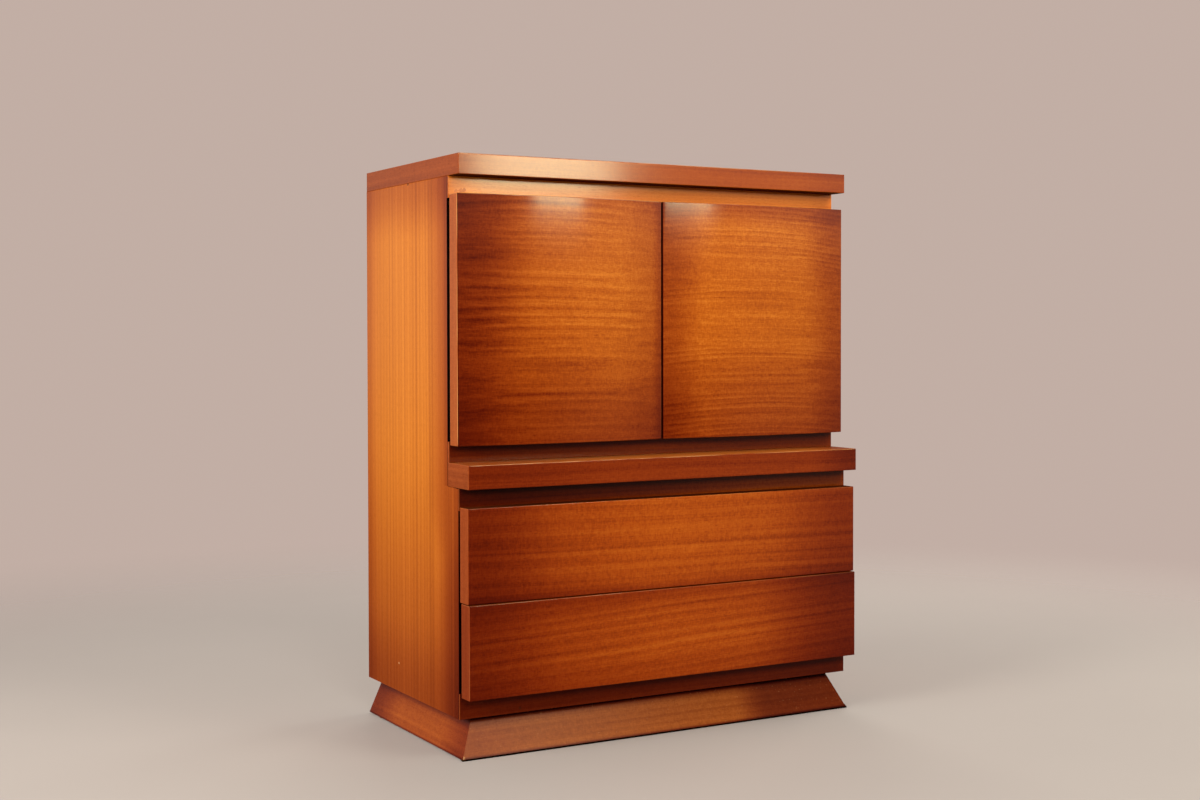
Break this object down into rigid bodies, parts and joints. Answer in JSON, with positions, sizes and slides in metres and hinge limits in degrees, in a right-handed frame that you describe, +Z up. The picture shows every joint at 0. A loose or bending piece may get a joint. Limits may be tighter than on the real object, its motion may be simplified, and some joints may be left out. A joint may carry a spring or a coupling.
{
  "type": "bachelor chest",
  "caption": "Bachelor chest with bowed cupboard doors above stacked drawers, a thick top, a projecting waist shelf and a flared plinth, in glossy mahogany.",
  "frame": {"origin": "middle of the overall box on the floor", "axes": "+Z up, front faces -Y, +X to the right seen from the front"},
  "size_m": [1.016, 0.5594, 1.2803],
  "materials": {
    "mahogany": "glossy lacquered veneer",
    "secondary_wood": "sanded, thin sealer",
    "plywood": "bare plywood",
    "brass": "dull, handled",
    "steel": "zinc plated",
    "catch_enamel": "brown enamel"
  },
  "bodies": {
    "case": {"bottom_rail": "mahogany", "case_bottom": "secondary_wood", "cupboard_floor": "mahogany", "cupboard_rail": "mahogany", "cupboard_shelf": "mahogany", "drawer_divider": "secondary_wood", "drawer_rail": "mahogany", "floor_glides": "steel", "left_catch": "catch_enamel", "left_hinge_case_leaf": "brass", "left_hinge_case_screws": "brass", "left_hinge_pin": "brass", "left_side_panel": "mahogany", "lower_back_panel": "plywood", "lower_left_runner": "secondary_wood", "lower_right_runner": "secondary_wood", "plinth_back": "secondary_wood", "plinth_front": "mahogany", "plinth_front_cleat": "secondary_wood", "plinth_left": "mahogany", "plinth_left_cleat": "secondary_wood", "plinth_right": "mahogany", "plinth_right_cleat": "secondary_wood", "rear_top_rail": "secondary_wood", "right_catch": "catch_enamel", "right_hinge_case_leaf": "brass", "right_hinge_case_screws": "brass", "right_hinge_pin": "brass", "right_side_panel": "mahogany", "shelf_pins": "brass", "top_rail": "mahogany", "top_slab": "mahogany", "upper_back_panel": "plywood", "upper_left_runner": "secondary_wood", "upper_right_runner": "secondary_wood", "waist_shelf": "mahogany"},
    "left_door": {"left_door": "mahogany", "left_hinge_door_leaf": "brass", "left_hinge_door_screws": "brass", "left_strike": "steel"},
    "right_door": {"right_door": "mahogany", "right_hinge_door_leaf": "brass", "right_hinge_door_screws": "brass", "right_strike": "steel"},
    "upper_drawer": {"upper_drawer_back": "secondary_wood", "upper_drawer_bottom": "plywood", "upper_drawer_box_front": "secondary_wood", "upper_drawer_front": "mahogany", "upper_drawer_left_side": "secondary_wood", "upper_drawer_right_side": "secondary_wood", "upper_drawer_screws": "steel"},
    "lower_drawer": {"lower_drawer_back": "secondary_wood", "lower_drawer_bottom": "plywood", "lower_drawer_box_front": "secondary_wood", "lower_drawer_front": "mahogany", "lower_drawer_left_side": "secondary_wood", "lower_drawer_right_side": "secondary_wood", "lower_drawer_screws": "steel"}
  },
  "joints": [
    {"name": "left_door_hinge", "type": "hinge", "parent": "case", "child": "left_door", "pos_m": [-0.5041, -0.18095, 0.93], "axis": [0, 0, -1], "range_deg": [0, 110]},
    {"name": "right_door_hinge", "type": "hinge", "parent": "case", "child": "right_door", "pos_m": [0.5041, -0.18095, 0.93], "axis": [0, 0, 1], "range_deg": [0, 110]},
    {"name": "upper_drawer_slide", "type": "slide", "parent": "case", "child": "upper_drawer", "axis": [0, -1, 0], "range_m": [0, 0.3]},
    {"name": "lower_drawer_slide", "type": "slide", "parent": "case", "child": "lower_drawer", "axis": [0, -1, 0], "range_m": [-0.005, 0.3]}
  ]
}
